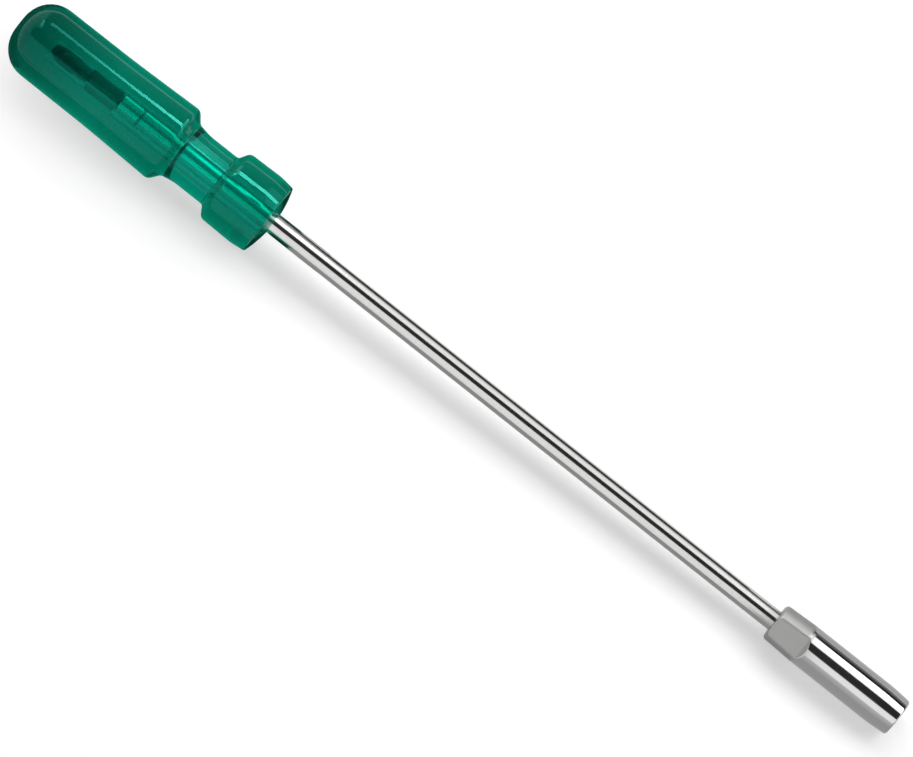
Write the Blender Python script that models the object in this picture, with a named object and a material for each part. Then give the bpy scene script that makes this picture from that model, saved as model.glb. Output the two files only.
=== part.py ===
"""A reversible screwdriver with a push-on nut socket, lying on its handle along +X.

A moulded handle takes a double-ended blade: a round bar with a hexagon-shanked bit in each end. The
inner bit's hexagon is keyed in the handle, the outer one in the nut socket, and a split spring ring
near each end of the bar holds by friction. Pulled out and turned round, the blade goes in the other way.

Each piece is modelled about its own X axis and placed by parent empties: the blade's empty is on the
handle's front end, the socket's on the socket's rear face.
"""

import math

import bmesh
import bpy
import numpy as np
from mathutils import Matrix, Vector

MM = 0.001

# Clearances between pieces
SLIDE_GAP = 0.15 * MM  # round a piece that slides
PRESS_GAP = 0.1 * MM  # round a piece that is pressed in
SEAT_GAP = 0.3 * MM  # between two faces that rest on each other
RING_GAP = 0.06 * MM  # between a spring ring and the bore that it grips
TIP_GAP = 0.4 * MM  # beyond a bit's end

# Handle, from its back end forwards
GRIP_LENGTH = 61.2 * MM
GRIP_BACK_DIAMETER = 25.5 * MM
GRIP_FRONT_DIAMETER = 27.3 * MM
GRIP_FLARE_START = 36.0 * MM  # from the back end to where the grip begins to widen
GRIP_FLARE_START_DIAMETER = 25.7 * MM
BACK_ROUND = 10.2 * MM  # edge radius of the domed back
GRIP_SHOULDER_LENGTH = 2.8 * MM
GRIP_SHOULDER_ROUND = 2.6 * MM
NECK_LENGTH = 15.7 * MM
NECK_REAR_DIAMETER = 20.0 * MM
NECK_REAR_TAPER_LENGTH = 4.5 * MM
NECK_WAIST_DIAMETER = 18.4 * MM
NECK_ROUND = 1.2 * MM  # where the neck meets both shoulders
COLLAR_SHOULDER_LENGTH = 2.2 * MM
COLLAR_SHOULDER_ROUND = 2.4 * MM
COLLAR_LENGTH = 17.1 * MM
COLLAR_REAR_DIAMETER = 25.5 * MM
COLLAR_DIAMETER = 26.0 * MM
COLLAR_FRONT_DIAMETER = 24.8 * MM
COLLAR_FRONT_TAPER_LENGTH = 5.0 * MM
COLLAR_FRONT_ROUND = 0.9 * MM
FRONT_DOME_HEIGHT = 1.9 * MM  # how far the front face swells out of the collar
FLUTE_COUNT = 3
FLUTE_WIDTH = 4.4 * MM  # at the grip's front
FLUTE_DEPTH = 0.5 * MM
BACK_WALL = 13.0 * MM  # plastic behind the bore

# Blade: a bar with a bit in each end
BAR_DIAMETER = 7.0 * MM
BAR_EXPOSED_LENGTH = 200.0 * MM  # between handle and socket
BAR_IN_SOCKET_LENGTH = 10.4 * MM
BAR_CHAMFER = 0.4 * MM
BLADE_ROLL = math.radians(30.0)  # the socket's flats against the handle's top flute
RING_WIRE = 0.8 * MM
RING_SPLIT = math.radians(40.0)
RING_FROM_BAR_END = 8.1 * MM

BIT_REACH = 26.8 * MM  # how far a bit stands out of its bar end
BIT_HEX = 5.5 * MM  # across flats
BIT_HEX_LENGTH = 12.0 * MM
BIT_NECK_DIAMETER = 4.2 * MM
BIT_NECK_LENGTH = 4.2 * MM
BIT_NECK_TAPER = 0.8 * MM  # length of the cones at both ends of the neck
BIT_HEAD_STEP = 0.1 * MM  # how far the round head lies inside the hexagon's flats
PEG_DIAMETER = 4.0 * MM
PEG_LENGTH = 5.5 * MM
PEG_CHAMFER = 0.3 * MM
CROSS_POINT_DIAMETER = 2.2 * MM
CROSS_CONE = math.radians(26.5)
CROSS_FLUTE_FOOT = 0.75 * MM  # distance of a flute's floor from the axis at the point
CROSS_FLUTE_SLOPE = math.radians(17.0)
SLOT_TIP_THICKNESS = 1.0 * MM
SLOT_TAPER = math.radians(10.0)

# Nut socket and its magnet
NUT_WIDTH = 8.1 * MM  # across flats, for 8 mm nuts and bolt heads
NUT_DEPTH = 9.0 * MM  # from the rim to the magnet
NUT_MOUTH_CHAMFER = 0.25 * MM
NUT_LEDGE = 0.45 * MM  # ring of metal round the magnet that a nut rests on
SOCKET_WALL = 2.22 * MM  # outside the nut hexagon's corners
SOCKET_END_TAPER = 0.5 * MM  # how much smaller the radius is at both ends than in the middle
SOCKET_FRONT_TAPER_LENGTH = 7.0 * MM
SOCKET_REAR_ROUND = 1.2 * MM
SOCKET_FRONT_ROUND = 0.8 * MM
SPANNER_WIDTH = 11.0 * MM  # across the two spanner flats
SPANNER_LENGTH = 11.8 * MM
MAGNET_THICKNESS = 2.0 * MM
MAGNET_CHAMFER = 0.2 * MM
BORE_MOUTH_CHAMFER = 0.5 * MM

# Fineness of the round forms
TURNED_SIDES = 36  # a multiple of 6, so that a hexagon keeps its corners
ARC_STEPS = 4
DOME_STEPS = 5
FLUTE_STEPS = 4
LAND_STEPS = 9  # odd, so that each land has a facet in its middle
RING_STEPS = 26

# Worked out from the sizes above
NECK_START = GRIP_LENGTH + GRIP_SHOULDER_LENGTH
COLLAR_SHOULDER_START = NECK_START + NECK_LENGTH
COLLAR_START = COLLAR_SHOULDER_START + COLLAR_SHOULDER_LENGTH
COLLAR_FRONT = COLLAR_START + COLLAR_LENGTH
HANDLE_LENGTH = COLLAR_FRONT + FRONT_DOME_HEIGHT
FLUTE_HALF_ANGLE = math.asin(FLUTE_WIDTH / GRIP_FRONT_DIAMETER)
FLUTE_PITCH = 2 * math.pi / FLUTE_COUNT
LAND_ANGLE = FLUTE_PITCH - 2 * FLUTE_HALF_ANGLE
AXIS_HEIGHT = GRIP_FRONT_DIAMETER / 2 * math.cos(LAND_ANGLE / LAND_STEPS / 2)  # lying on the lowest land

BAR_RADIUS = BAR_DIAMETER / 2
BAR_IN_HANDLE_LENGTH = HANDLE_LENGTH - BACK_WALL - TIP_GAP - BIT_REACH
BAR_OUTER_END = BAR_EXPOSED_LENGTH + BAR_IN_SOCKET_LENGTH
BORE_RADIUS = BAR_RADIUS + SLIDE_GAP
BIT_HEAD_RADIUS = BIT_HEX / 2 - BIT_HEAD_STEP
HEX_BORE = BIT_HEX + 2 * SLIDE_GAP
TIP_BORE_RADIUS = BIT_HEAD_RADIUS + SLIDE_GAP
RING_RADIUS = BORE_RADIUS - RING_GAP - RING_WIRE / 2  # at the middle of the wire
RING_GROOVE_RADIUS = RING_RADIUS - RING_WIRE / 2 - SLIDE_GAP
RING_GROOVE_WIDTH = RING_WIRE + 2 * SLIDE_GAP

NUT_CORNER_RADIUS = NUT_WIDTH / math.sqrt(3)
SOCKET_RADIUS = NUT_CORNER_RADIUS + SOCKET_WALL
MAGNET_POCKET_RADIUS = NUT_WIDTH / 2 - NUT_LEDGE
MAGNET_RADIUS = MAGNET_POCKET_RADIUS - PRESS_GAP
MAGNET_FLOOR = BAR_IN_SOCKET_LENGTH + BIT_REACH + TIP_GAP
NUT_FLOOR = MAGNET_FLOOR + SEAT_GAP + MAGNET_THICKNESS
SOCKET_LENGTH = NUT_FLOOR + NUT_DEPTH
OVERALL_LENGTH = HANDLE_LENGTH + BAR_EXPOSED_LENGTH + SOCKET_LENGTH
CUT_MARGIN = SOCKET_RADIUS  # how far a cutter runs past the surface that it opens


def clear_scene():
    for item in list(bpy.data.objects):
        bpy.data.objects.remove(item, do_unlink=True)


def material(name, colour, roughness, metallic=0.0, transmission=0.0):
    made = bpy.data.materials.new(name)
    made.use_nodes = True
    shader = made.node_tree.nodes["Principled BSDF"]
    shader.inputs["Base Color"].default_value = (*colour, 1.0)
    shader.inputs["Roughness"].default_value = roughness
    shader.inputs["Metallic"].default_value = metallic
    shader.inputs["Transmission Weight"].default_value = transmission
    return made


def add_empty(name, parent=None, location=(0.0, 0.0, 0.0), roll=0.0):
    made = bpy.data.objects.new(name, None)
    made.parent = parent
    made.location = location
    made.rotation_euler = (roll, 0.0, 0.0)
    bpy.context.collection.objects.link(made)
    return made


def add_piece(name, shape, look, parent, x=0.0, turn=0.0):
    """Place a mesh or curve x along its parent's axis, turned about the upright."""
    made = bpy.data.objects.new(name, shape)
    made.parent = parent
    made.location = (x, 0.0, 0.0)
    made.rotation_euler = (0.0, 0.0, turn)
    shape.materials.append(look)
    bpy.context.collection.objects.link(made)
    return made


def cut(piece, shape, frame=None):
    """Take a shape out of a piece. The cutter stands in the piece's own frame, or in another empty's."""
    cutter = bpy.data.objects.new(shape.name, shape)
    cutter.parent = frame or piece
    cutter.hide_render = True
    cutter.display_type = "WIRE"
    bpy.context.collection.objects.link(cutter)
    change = piece.modifiers.new(cutter.name, "BOOLEAN")
    change.operation = "DIFFERENCE"
    change.object = cutter


def mesh_from(shape, name):
    bmesh.ops.recalc_face_normals(shape, faces=shape.faces)
    made = bpy.data.meshes.new(name)
    shape.to_mesh(made)
    shape.free()
    made.shade_smooth()
    made.set_sharp_from_angle(angle=math.radians(30.0))
    return made


def round_section(radius):
    return lambda angle: radius


def hex_section(across_flats):
    """A hexagon with a corner at angle 0."""
    sector = math.pi / 3
    return lambda angle: across_flats / 2 / math.cos(angle % sector - sector / 2)


def even_angles():
    return [2 * math.pi * k / TURNED_SIDES for k in range(TURNED_SIDES)]


def lofted_mesh(name, stations, angles):
    """Skin a solid over (x, section) stations. A section gives the radius at an angle from +Z about X."""
    shape = bmesh.new()
    rings = []
    for x, section in stations:
        ring = []
        for angle in angles:
            radius = section(angle)
            ring.append(shape.verts.new((x, -radius * math.sin(angle), radius * math.cos(angle))))
        rings.append(ring)
    for near, far in zip(rings, rings[1:]):
        for k in range(len(angles)):
            shape.faces.new((near[k - 1], near[k], far[k], far[k - 1]))
    shape.faces.new(rings[0])
    shape.faces.new(rings[-1])
    return mesh_from(shape, name)


def turned_mesh(name, outline):
    stations = [(x, round_section(radius)) for x, radius in outline]
    return lofted_mesh(name, stations, even_angles())


def box_mesh(name, low, high):
    shape = bmesh.new()
    bmesh.ops.create_cube(shape, size=1.0)
    size = Vector(high) - Vector(low)
    bmesh.ops.scale(shape, vec=size, verts=shape.verts)
    bmesh.ops.translate(shape, vec=Vector(low) + size / 2, verts=shape.verts)
    return mesh_from(shape, name)


def rounded_outline(corners):
    """Points along a polyline of (x, radius, fillet) corners, with each fillet as an arc."""
    points = []
    for index, (x, radius, fillet) in enumerate(corners):
        corner = Vector((x, radius))
        if fillet == 0.0:
            points.append(corner)
            continue
        before = (Vector(corners[index - 1][:2]) - corner).normalized()
        after = (Vector(corners[index + 1][:2]) - corner).normalized()
        half = before.angle(after) / 2
        centre = corner + (before + after).normalized() * (fillet / math.sin(half))
        start = (corner + before * (fillet / math.tan(half)) - centre).normalized()
        end = (corner + after * (fillet / math.tan(half)) - centre).normalized()
        for step in range(ARC_STEPS + 1):
            points.append(centre + start.slerp(end, step / ARC_STEPS) * fillet)
    return points


def grip_lands():
    return [
        (0.0, GRIP_BACK_DIAMETER / 2),
        (GRIP_FLARE_START, GRIP_FLARE_START_DIAMETER / 2),
        (GRIP_LENGTH, GRIP_FRONT_DIAMETER / 2),
    ]


def collar_lands():
    return [
        (COLLAR_START, COLLAR_REAR_DIAMETER / 2),
        (COLLAR_FRONT - COLLAR_FRONT_TAPER_LENGTH, COLLAR_DIAMETER / 2),
        (COLLAR_FRONT, COLLAR_FRONT_DIAMETER / 2),
    ]


def flute_brim(x):
    """Radius that the flutes are sunk from: the grip's lands, or past the neck the collar's widest place."""
    if x < NECK_START + NECK_LENGTH / 2:
        return np.interp(x, *zip(*grip_lands()))
    return COLLAR_DIAMETER / 2


def front_dome():
    """Points of the swelling front face, from the collar's edge in to the bore."""
    edge = COLLAR_FRONT_DIAMETER / 2
    radii = np.linspace(edge, BORE_RADIUS, DOME_STEPS + 1)[1:]
    rise = [1 - (r / edge) ** 2 for r in radii]
    return [(COLLAR_FRONT + FRONT_DOME_HEIGHT * u / rise[-1], r, 0.0) for u, r in zip(rise, radii)]


def handle_outline():
    """The handle's side outline, back to front, before the flutes are sunk."""
    (back, flare_start, grip_end), (collar_rear, collar_middle, collar_edge) = grip_lands(), collar_lands()
    corners = [
        (0.0, 0.0, 0.0),
        (*back, BACK_ROUND),
        (*flare_start, 0.0),
        (*grip_end, GRIP_SHOULDER_ROUND),
        (NECK_START, NECK_REAR_DIAMETER / 2, NECK_ROUND),
        (NECK_START + NECK_REAR_TAPER_LENGTH, NECK_WAIST_DIAMETER / 2, NECK_LENGTH),
        (COLLAR_SHOULDER_START, NECK_WAIST_DIAMETER / 2, NECK_ROUND),
        (*collar_rear, COLLAR_SHOULDER_ROUND),
        (*collar_middle, COLLAR_LENGTH),
        (*collar_edge, COLLAR_FRONT_ROUND),
        *front_dome(),
    ]
    return rounded_outline(corners)[1:]


def fluted_section(radius, brim):
    """A round cut back to the flutes, which narrow and end where the round falls below their brim."""

    def section(angle):
        from_flute = (angle + FLUTE_PITCH / 2) % FLUTE_PITCH - FLUTE_PITCH / 2
        across = abs(from_flute) / FLUTE_HALF_ANGLE
        return min(radius, brim - FLUTE_DEPTH * (1 - across**2))

    return section


def flute_angles():
    """Angles round the handle, closer together across each flute than across a land."""
    flute_angle = 2 * FLUTE_HALF_ANGLE
    angles = []
    for flute in range(FLUTE_COUNT):
        start = flute * FLUTE_PITCH - FLUTE_HALF_ANGLE
        angles += [start + flute_angle * k / FLUTE_STEPS for k in range(FLUTE_STEPS)]
        angles += [start + flute_angle + LAND_ANGLE * k / LAND_STEPS for k in range(LAND_STEPS)]
    return angles


def keyed_bore(bar_end, direction):
    """Stations of a bore for one end of the blade, from its mouth plane at x = 0 to the bit's tip.

    bar_end is the depth of the bar's end, and direction is the way in, 1 or -1 along X.
    """
    mouth = round_section(BORE_RADIUS + BORE_MOUTH_CHAMFER)
    bore = round_section(BORE_RADIUS)
    key = hex_section(HEX_BORE)
    tip = round_section(TIP_BORE_RADIUS)
    seat = bar_end + SEAT_GAP
    key_end = bar_end + BIT_HEX_LENGTH + TIP_GAP
    stations = [
        (-CUT_MARGIN, mouth),
        (0.0, mouth),
        (BORE_MOUTH_CHAMFER, bore),
        (seat, bore),
        (seat, key),
        (key_end, key),
        (key_end, tip),
        (bar_end + BIT_REACH + TIP_GAP, tip),
    ]
    return [(direction * x, section) for x, section in stations]


def make_handle(tool, blade):
    look = material("green_acetate", (0.001, 0.144, 0.094), 0.08, transmission=0.6)
    stations = [(x, fluted_section(r, flute_brim(x))) for x, r in handle_outline()]
    handle = add_piece("handle", lofted_mesh("handle", stations, flute_angles()), look, tool)
    bore = lofted_mesh("handle_bore", keyed_bore(BAR_IN_HANDLE_LENGTH, -1), even_angles())
    cut(handle, bore, blade)


def bar_end_outline():
    """(depth, radius) points from the bar's end face in past its ring groove."""
    groove = RING_FROM_BAR_END - RING_GROOVE_WIDTH / 2
    return [
        (0.0, BAR_RADIUS - BAR_CHAMFER),
        (BAR_CHAMFER, BAR_RADIUS),
        (groove, BAR_RADIUS),
        (groove, RING_GROOVE_RADIUS),
        (groove + RING_GROOVE_WIDTH, RING_GROOVE_RADIUS),
        (groove + RING_GROOVE_WIDTH, BAR_RADIUS),
    ]


def make_bar(blade):
    look = material("chromed_bar", (0.80, 0.81, 0.82), 0.08, metallic=1.0)
    inner = [(depth - BAR_IN_HANDLE_LENGTH, radius) for depth, radius in bar_end_outline()]
    outer = [(BAR_OUTER_END - depth, radius) for depth, radius in reversed(bar_end_outline())]
    bar = add_piece("blade_bar", turned_mesh("blade_bar", inner + outer), look, blade)
    hole_radius = PEG_DIAMETER / 2 + PRESS_GAP
    hole_depth = PEG_LENGTH + SEAT_GAP
    for name, end, way_in in (("inner", -BAR_IN_HANDLE_LENGTH, 1), ("outer", BAR_OUTER_END, -1)):
        hole = [(end - way_in * CUT_MARGIN, hole_radius), (end + way_in * hole_depth, hole_radius)]
        cut(bar, turned_mesh(name + "_peg_hole", hole))


def bit_stations(head_stations):
    """A bit along +X from its bar's end face: peg, hexagon, slim neck, then the head."""
    peg = PEG_DIAMETER / 2
    neck = round_section(BIT_NECK_DIAMETER / 2)
    neck_start = BIT_HEX_LENGTH + BIT_NECK_TAPER
    neck_end = neck_start + BIT_NECK_LENGTH
    return [
        (-PEG_LENGTH, round_section(peg - PEG_CHAMFER)),
        (PEG_CHAMFER - PEG_LENGTH, round_section(peg)),
        (SEAT_GAP, round_section(peg)),
        (SEAT_GAP, hex_section(BIT_HEX)),
        (BIT_HEX_LENGTH, hex_section(BIT_HEX)),
        (neck_start, neck),
        (neck_end, neck),
        (neck_end + BIT_NECK_TAPER, round_section(BIT_HEAD_RADIUS)),
        *head_stations,
    ]


def make_cross_bit(blade):
    look = material("blackened_cross_bit", (0.03, 0.03, 0.033), 0.4, metallic=1.0)
    point = CROSS_POINT_DIAMETER / 2
    cone_length = (BIT_HEAD_RADIUS - point) / math.tan(CROSS_CONE)
    head = [
        (BIT_REACH - cone_length, round_section(BIT_HEAD_RADIUS)),
        (BIT_REACH, round_section(point)),
    ]
    shape = lofted_mesh("cross_bit", bit_stations(head), even_angles())
    bit = add_piece("cross_bit", shape, look, blade, x=-BAR_IN_HANDLE_LENGTH, turn=math.pi)
    quarter = math.pi / 2
    for index in range(4):
        flute = box_mesh(f"cross_flute_{index}", (-BIT_HEX_LENGTH, 0.0, 0.0), (BIT_HEX, BIT_HEX, BIT_HEX))
        place = (
            Matrix.Rotation(quarter * (index + 0.5), 4, "X")
            @ Matrix.Translation((BIT_REACH, 0.0, CROSS_FLUTE_FOOT))
            @ Matrix.Rotation(CROSS_FLUTE_SLOPE, 4, "Y")
            @ Matrix.Rotation(quarter / 2, 4, "X")
        )
        flute.transform(place)
        cut(bit, flute)


def make_slotted_bit(blade):
    look = material("blackened_slotted_bit", (0.03, 0.03, 0.033), 0.4, metallic=1.0)
    head = [(BIT_REACH, round_section(BIT_HEAD_RADIUS))]
    shape = lofted_mesh("slotted_bit", bit_stations(head), even_angles())
    bit = add_piece("slotted_bit", shape, look, blade, x=BAR_OUTER_END)
    for side, roll in (("upper", 0.0), ("lower", math.pi)):
        wedge = box_mesh(side + "_wedge", (-BIT_HEX_LENGTH, -BIT_HEX, 0.0), (BIT_HEX, BIT_HEX, BIT_HEX))
        place = (
            Matrix.Rotation(roll, 4, "X")
            @ Matrix.Translation((BIT_REACH, 0.0, SLOT_TIP_THICKNESS / 2))
            @ Matrix.Rotation(SLOT_TAPER, 4, "Y")
        )
        wedge.transform(place)
        cut(bit, wedge)


def make_ring(name, blade, x):
    """A split ring of round wire about the axis, with its split a quarter turn from a spanner flat."""
    look = material(name + "_spring_steel", (0.45, 0.45, 0.46), 0.3, metallic=1.0)
    wire = bpy.data.curves.new(name, "CURVE")
    wire.dimensions = "3D"
    wire.fill_mode = "FULL"
    wire.bevel_depth = RING_WIRE / 2
    wire.bevel_resolution = 1
    wire.use_fill_caps = True
    line = wire.splines.new("POLY")
    line.points.add(RING_STEPS)
    for step, point in enumerate(line.points):
        angle = math.pi / 2 + RING_SPLIT / 2 + (2 * math.pi - RING_SPLIT) * step / RING_STEPS
        point.co = (0.0, -RING_RADIUS * math.sin(angle), RING_RADIUS * math.cos(angle), 1.0)
    add_piece(name, wire, look, blade, x=x)


def socket_bore_stations():
    """The bore through the socket: blade end, magnet pocket, nut hexagon and its countersunk mouth."""
    pocket = round_section(MAGNET_POCKET_RADIUS)
    nut = hex_section(NUT_WIDTH)
    mouth = round_section(NUT_CORNER_RADIUS + NUT_MOUTH_CHAMFER)
    return keyed_bore(BAR_IN_SOCKET_LENGTH, 1) + [
        (MAGNET_FLOOR, pocket),
        (NUT_FLOOR, pocket),
        (NUT_FLOOR, nut),
        (SOCKET_LENGTH - NUT_MOUTH_CHAMFER, nut),
        (SOCKET_LENGTH, mouth),
        (SOCKET_LENGTH + CUT_MARGIN, mouth),
    ]


def spanner_cutter_mesh(name, roll):
    """A block above one spanner flat, with a 45 degree run-out at its front."""
    floor = SPANNER_WIDTH / 2
    top = SOCKET_RADIUS + CUT_MARGIN
    side = [
        (-CUT_MARGIN, floor),
        (SPANNER_LENGTH, floor),
        (SPANNER_LENGTH + top - floor, top),
        (-CUT_MARGIN, top),
    ]
    shape = bmesh.new()
    face = shape.faces.new([shape.verts.new((x, -CUT_MARGIN, z)) for x, z in side])
    swept = bmesh.ops.extrude_face_region(shape, geom=[face])["geom"]
    moved = [item for item in swept if isinstance(item, bmesh.types.BMVert)]
    bmesh.ops.translate(shape, vec=(0.0, 2 * CUT_MARGIN, 0.0), verts=moved)
    bmesh.ops.rotate(shape, matrix=Matrix.Rotation(roll, 3, "X"), verts=shape.verts)
    return mesh_from(shape, name)


def make_socket(socket):
    look = material("chromed_socket", (0.80, 0.81, 0.82), 0.1, metallic=1.0)
    end_radius = SOCKET_RADIUS - SOCKET_END_TAPER
    corners = [
        (0.0, end_radius - 2 * SOCKET_REAR_ROUND, 0.0),
        (0.0, end_radius, SOCKET_REAR_ROUND),
        (SPANNER_LENGTH, SOCKET_RADIUS, 0.0),
        (SOCKET_LENGTH - SOCKET_FRONT_TAPER_LENGTH, SOCKET_RADIUS, 0.0),
        (SOCKET_LENGTH, end_radius, SOCKET_FRONT_ROUND),
        (SOCKET_LENGTH, end_radius - 2 * SOCKET_FRONT_ROUND, 0.0),
    ]
    sleeve = add_piece("nut_socket", turned_mesh("nut_socket", rounded_outline(corners)), look, socket)
    cut(sleeve, lofted_mesh("socket_bore", socket_bore_stations(), even_angles()))
    for side, roll in (("near", 0.0), ("far", math.pi)):
        cut(sleeve, spanner_cutter_mesh(side + "_spanner_flat", roll))


def make_magnet(socket):
    look = material("nickel_plated_magnet", (0.5, 0.49, 0.47), 0.25, metallic=1.0)
    outline = [
        (0.0, MAGNET_RADIUS - MAGNET_CHAMFER),
        (MAGNET_CHAMFER, MAGNET_RADIUS),
        (MAGNET_THICKNESS - MAGNET_CHAMFER, MAGNET_RADIUS),
        (MAGNET_THICKNESS, MAGNET_RADIUS - MAGNET_CHAMFER),
    ]
    shape = turned_mesh("socket_magnet", outline)
    add_piece("socket_magnet", shape, look, socket, x=MAGNET_FLOOR + SEAT_GAP)


def main():
    clear_scene()
    tool = add_empty("tool", location=(-OVERALL_LENGTH / 2, 0.0, AXIS_HEIGHT))
    blade = add_empty("blade", tool, (HANDLE_LENGTH, 0.0, 0.0), BLADE_ROLL)
    socket = add_empty("socket", blade, (BAR_EXPOSED_LENGTH, 0.0, 0.0))
    make_handle(tool, blade)
    make_bar(blade)
    make_cross_bit(blade)
    make_slotted_bit(blade)
    make_ring("handle_end_ring", blade, RING_FROM_BAR_END - BAR_IN_HANDLE_LENGTH)
    make_ring("socket_end_ring", blade, BAR_OUTER_END - RING_FROM_BAR_END)
    make_socket(socket)
    make_magnet(socket)


main()
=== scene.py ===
"""The looks of a reversible screwdriver with a push-on nut socket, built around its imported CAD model.

Every piece is a fine skin over cross sections along the tool's axis, in metres, in the CAD's own frame.
A section is a function that gives the radius at an angle, measured from the top towards -Y.
"""

import math

import bmesh
import bpy
import numpy as np
from mathutils import Matrix, Vector


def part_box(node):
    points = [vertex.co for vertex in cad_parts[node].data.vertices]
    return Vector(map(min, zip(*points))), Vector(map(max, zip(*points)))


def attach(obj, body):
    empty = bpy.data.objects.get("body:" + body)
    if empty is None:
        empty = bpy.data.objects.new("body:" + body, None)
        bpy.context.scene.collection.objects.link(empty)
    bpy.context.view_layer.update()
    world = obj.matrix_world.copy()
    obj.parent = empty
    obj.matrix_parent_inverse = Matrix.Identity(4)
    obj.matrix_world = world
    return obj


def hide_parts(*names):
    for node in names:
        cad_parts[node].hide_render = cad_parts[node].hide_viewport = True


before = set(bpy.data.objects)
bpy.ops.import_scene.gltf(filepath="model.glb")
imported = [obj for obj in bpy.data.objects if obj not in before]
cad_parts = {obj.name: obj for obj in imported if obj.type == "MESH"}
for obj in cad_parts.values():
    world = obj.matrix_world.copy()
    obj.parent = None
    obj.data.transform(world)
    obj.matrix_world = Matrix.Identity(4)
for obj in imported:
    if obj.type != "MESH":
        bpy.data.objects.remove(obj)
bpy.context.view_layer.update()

MM = 0.001

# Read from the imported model
HANDLE_LOW, HANDLE_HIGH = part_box("handle")
BAR_LOW, BAR_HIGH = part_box("blade_bar")
SOCKET_LOW, SOCKET_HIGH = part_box("nut_socket")
INNER_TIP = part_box("cross_bit")[0].x
OUTER_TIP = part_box("slotted_bit")[1].x
MAGNET_LOW, MAGNET_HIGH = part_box("socket_magnet")
AXIS_HEIGHT = (BAR_LOW.z + BAR_HIGH.z) / 2
BACK = HANDLE_LOW.x
BAR_RADIUS = (BAR_HIGH.y - BAR_LOW.y) / 2
SOCKET_RADIUS = (SOCKET_HIGH.y - SOCKET_LOW.y) / 2
MAGNET_RADIUS = (MAGNET_HIGH.y - MAGNET_LOW.y) / 2
BIT_REACH = OUTER_TIP - BAR_HIGH.x
RINGS = {name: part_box(name) for name in ("handle_end_ring", "socket_end_ring")}

# Handle, along the axis from its back end
GRIP_LENGTH = 61.2 * MM
GRIP_BACK_RADIUS = 12.75 * MM
GRIP_FLARE_START = 36.0 * MM
GRIP_FLARE_START_RADIUS = 12.85 * MM
GRIP_FLARE_ROUND = 500.0 * MM  # of the slow bend into the flare
GRIP_FRONT_RADIUS = 13.58 * MM
BACK_ROUND = 10.2 * MM
GRIP_SHOULDER_LENGTH = 2.8 * MM
GRIP_SHOULDER_ROUND = 2.6 * MM
NECK_LENGTH = 15.7 * MM
NECK_REAR_RADIUS = 10.0 * MM
NECK_REAR_TAPER_LENGTH = 4.5 * MM
NECK_WAIST_RADIUS = 9.2 * MM
NECK_REAR_ROUND = 2.4 * MM  # larger than the solid's, for a softer root
NECK_ROUND = 1.2 * MM
COLLAR_SHOULDER_LENGTH = 2.2 * MM
COLLAR_SHOULDER_ROUND = 2.4 * MM
COLLAR_LENGTH = 17.1 * MM
COLLAR_REAR_RADIUS = 12.75 * MM
COLLAR_RADIUS = 13.0 * MM
COLLAR_FRONT_RADIUS = 12.4 * MM
COLLAR_FRONT_TAPER_LENGTH = 5.0 * MM
COLLAR_FRONT_ROUND = 0.9 * MM
FRONT_DOME_HEIGHT = 1.9 * MM
FLUTE_COUNT = 3
FLUTE_HALF_WIDTH = 2.2 * MM
FLUTE_DEPTH = 0.2 * MM  # less than the solid's, so that the bar inside shows straight
FLUTE_MARGIN = 1.25  # width of the finely divided strip over a flute, to the flute's own
FLUTE_EDGE = 0.06 * MM  # softness of the edges between flutes and lands
SLIDE_GAP = 0.15 * MM
SEAT_GAP = 0.3 * MM
TIP_GAP = 0.4 * MM
MOUTH_CHAMFER = 0.5 * MM

# Blade
BLADE_ROLL = math.radians(30.0)
BAR_CHAMFER = 0.4 * MM
RING_WIRE_RADIUS = 0.4 * MM
RING_SPLIT = math.radians(40.0)
GROOVE_DEPTH = 2.4 * RING_WIRE_RADIUS  # from the bore's wall to the groove's floor
BIT_HEX = 5.5 * MM
BIT_HEX_LENGTH = 12.0 * MM
BIT_NECK_RADIUS = 2.1 * MM
BIT_NECK_LENGTH = 4.2 * MM
BIT_NECK_TAPER = 0.8 * MM
BIT_HEAD_RADIUS = 2.65 * MM
BIT_EDGE = 0.12 * MM  # softness of the bits' edges
HEX_EASE = 3 * BIT_EDGE  # how far the hexagon's corners and ends are eased
PEG_RADIUS = 2.0 * MM
PEG_LENGTH = 5.5 * MM
PEG_CHAMFER = 0.3 * MM
PRESS_GAP = 0.1 * MM
CROSS_POINT_RADIUS = 1.1 * MM
CROSS_CONE = math.radians(26.5)
CROSS_FLUTE_FOOT = 0.75 * MM
CROSS_FLUTE_SLOPE = math.radians(17.0)
SLOT_TIP_THICKNESS = 1.0 * MM
SLOT_TAPER = math.radians(10.0)

# Nut socket
NUT_WIDTH = 8.1 * MM
NUT_MOUTH_CHAMFER = 0.25 * MM
NUT_LEDGE = 0.45 * MM
SOCKET_REAR_RADIUS = 6.4 * MM
SOCKET_REAR_ROUND = 1.2 * MM
SOCKET_FRONT_RADIUS = 6.4 * MM
SOCKET_FRONT_ROUND = 0.8 * MM
SOCKET_FRONT_TAPER_LENGTH = 7.0 * MM
SOCKET_TAPER_ROUND = 60.0 * MM  # of the slow bends into both tapers
SPANNER_WIDTH = 11.0 * MM
SPANNER_LENGTH = 11.8 * MM
SPANNER_EDGE = 0.18 * MM  # softness of the flats' edges
RUN_OUT_MARGIN = 0.3 * MM  # of fine sections before and after the flats' run-outs
MAGNET_CHAMFER = 0.2 * MM

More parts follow.
